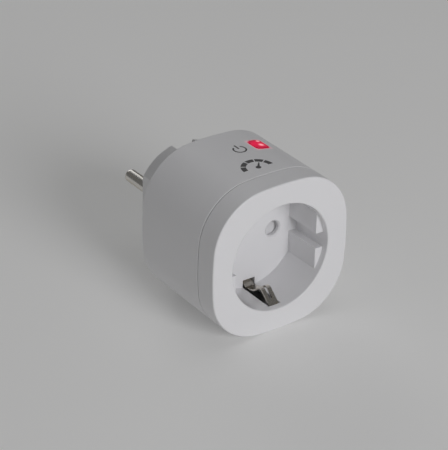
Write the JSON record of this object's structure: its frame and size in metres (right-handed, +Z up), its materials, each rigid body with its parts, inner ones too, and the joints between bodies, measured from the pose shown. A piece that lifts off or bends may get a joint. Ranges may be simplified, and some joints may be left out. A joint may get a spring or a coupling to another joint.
{
  "type": "plug in power meter",
  "caption": "White plug-in socket adaptor with a side-earth plug behind, a round socket well in front, a lit top button, and metering and relay boards inside.",
  "frame": {"origin": "on the plug axis, in the plane of the rear shoulder that rests on the wall plate", "axes": "+Y into the wall along the plug pins, -Y towards the user, +Z up on the button's side, +X to the user's right"},
  "size_m": [0.055, 0.078, 0.055],
  "materials": {
    "shell_white": "fine satin white moulding",
    "button_lens": "translucent button, lit red from below",
    "pin_nickel": "nickel-plated brass",
    "earth_nickel": "nickel-plated spring brass",
    "contact_brass": "bare brass strip",
    "copper": "bare copper",
    "carrier_grey": "grey insulating moulding",
    "shutter_white": "white low-friction moulding",
    "spring_steel": "spring wire",
    "screw_steel": "zinc-plated steel",
    "board_green": "solder mask over glass-fibre board",
    "radio_mask": "dark solder mask",
    "shield_tin": "tinned steel sheet",
    "component_black": "black moulded package",
    "switch_grey": "dark plunger",
    "led_lens": "red lens",
    "header_tin": "tinned square pins",
    "relay_blue": "blue moulded cover",
    "relay_iron": "plated soft iron",
    "coil_copper": "enamelled copper winding",
    "shunt_alloy": "resistance alloy strip",
    "can_sleeve": "dark sleeve over an aluminium can",
    "film_yellow": "boxed film capacitor",
    "disc_blue": "epoxy-coated disc",
    "resistor_tan": "coated wire-wound body"
  },
  "bodies": {
    "root": {"rear_housing": "shell_white", "front_cover": "shell_white", "plug_pin_live": "pin_nickel", "plug_pin_neutral": "pin_nickel", "earth_strap_upper": "earth_nickel", "earth_strap_lower": "earth_nickel", "earth_bridge": "earth_nickel", "socket_contact_live": "contact_brass", "socket_contact_neutral": "contact_brass", "live_pin_strap": "contact_brass", "neutral_pin_strap": "contact_brass", "live_out_strip": "copper", "neutral_link": "copper", "relay_fixed_contact": "copper", "radio_antenna": "copper", "contact_carrier": "carrier_grey", "pin_carrier": "carrier_grey", "housing_screws": "screw_steel", "power_board": "board_green", "control_board": "board_green", "radio_board": "radio_mask", "radio_shield": "shield_tin", "tact_switch": "component_black", "header_body": "component_black", "metering_chip": "component_black", "bridge_rectifier": "component_black", "status_led": "led_lens", "header_pins": "header_tin", "relay_case": "relay_blue", "relay_frame": "relay_iron", "relay_coil": "coil_copper", "suppression_choke": "coil_copper", "supply_inductor": "coil_copper", "metering_shunt": "shunt_alloy", "bulk_capacitor": "can_sleeve", "supply_capacitors": "can_sleeve", "mains_capacitor": "film_yellow", "safety_capacitor": "disc_blue", "varistor": "disc_blue", "fuse_resistor": "resistor_tan"},
    "button": {"button_cap": "button_lens", "switch_plunger": "switch_grey"},
    "shutter": {"shutter_slider": "shutter_white", "shutter_spring": "spring_steel"},
    "upper_earth_clip": {"earth_clip_upper": "earth_nickel"},
    "lower_earth_clip": {"earth_clip_lower": "earth_nickel"},
    "armature": {"relay_armature": "relay_iron", "relay_contact_spring": "copper"}
  },
  "joints": [
    {"name": "button_press", "type": "slide", "parent": "root", "child": "button", "axis": [0, 0, -1], "range_m": [0, 0.0004], "stiffness_N_per_m": 3000, "springref_m": -0.0001},
    {"name": "shutter_slide", "type": "slide", "parent": "root", "child": "shutter", "axis": [0, 0, -1], "range_m": [0, 0.0058], "stiffness_N_per_m": 120, "springref_m": -0.003, "deforming": ["shutter_spring"]},
    {"name": "upper_clip_flex", "type": "hinge", "parent": "root", "child": "upper_earth_clip", "pos_m": [0, -0.0195, 0.0172], "axis": [-1, 0, 0], "range_deg": [0, 6], "stiffness_Nm_per_rad": 0.8, "springref_deg": -2.01},
    {"name": "lower_clip_flex", "type": "hinge", "parent": "root", "child": "lower_earth_clip", "pos_m": [0, -0.0195, -0.0172], "axis": [1, 0, 0], "range_deg": [0, 6], "stiffness_Nm_per_rad": 0.8, "springref_deg": -2.01},
    {"name": "armature_rock", "type": "hinge", "parent": "root", "child": "armature", "pos_m": [0, 0.0098, -0.0079], "axis": [1, 0, 0], "range_deg": [0, 3.5], "stiffness_Nm_per_rad": 0.05, "springref_deg": -5.73}
  ]
}
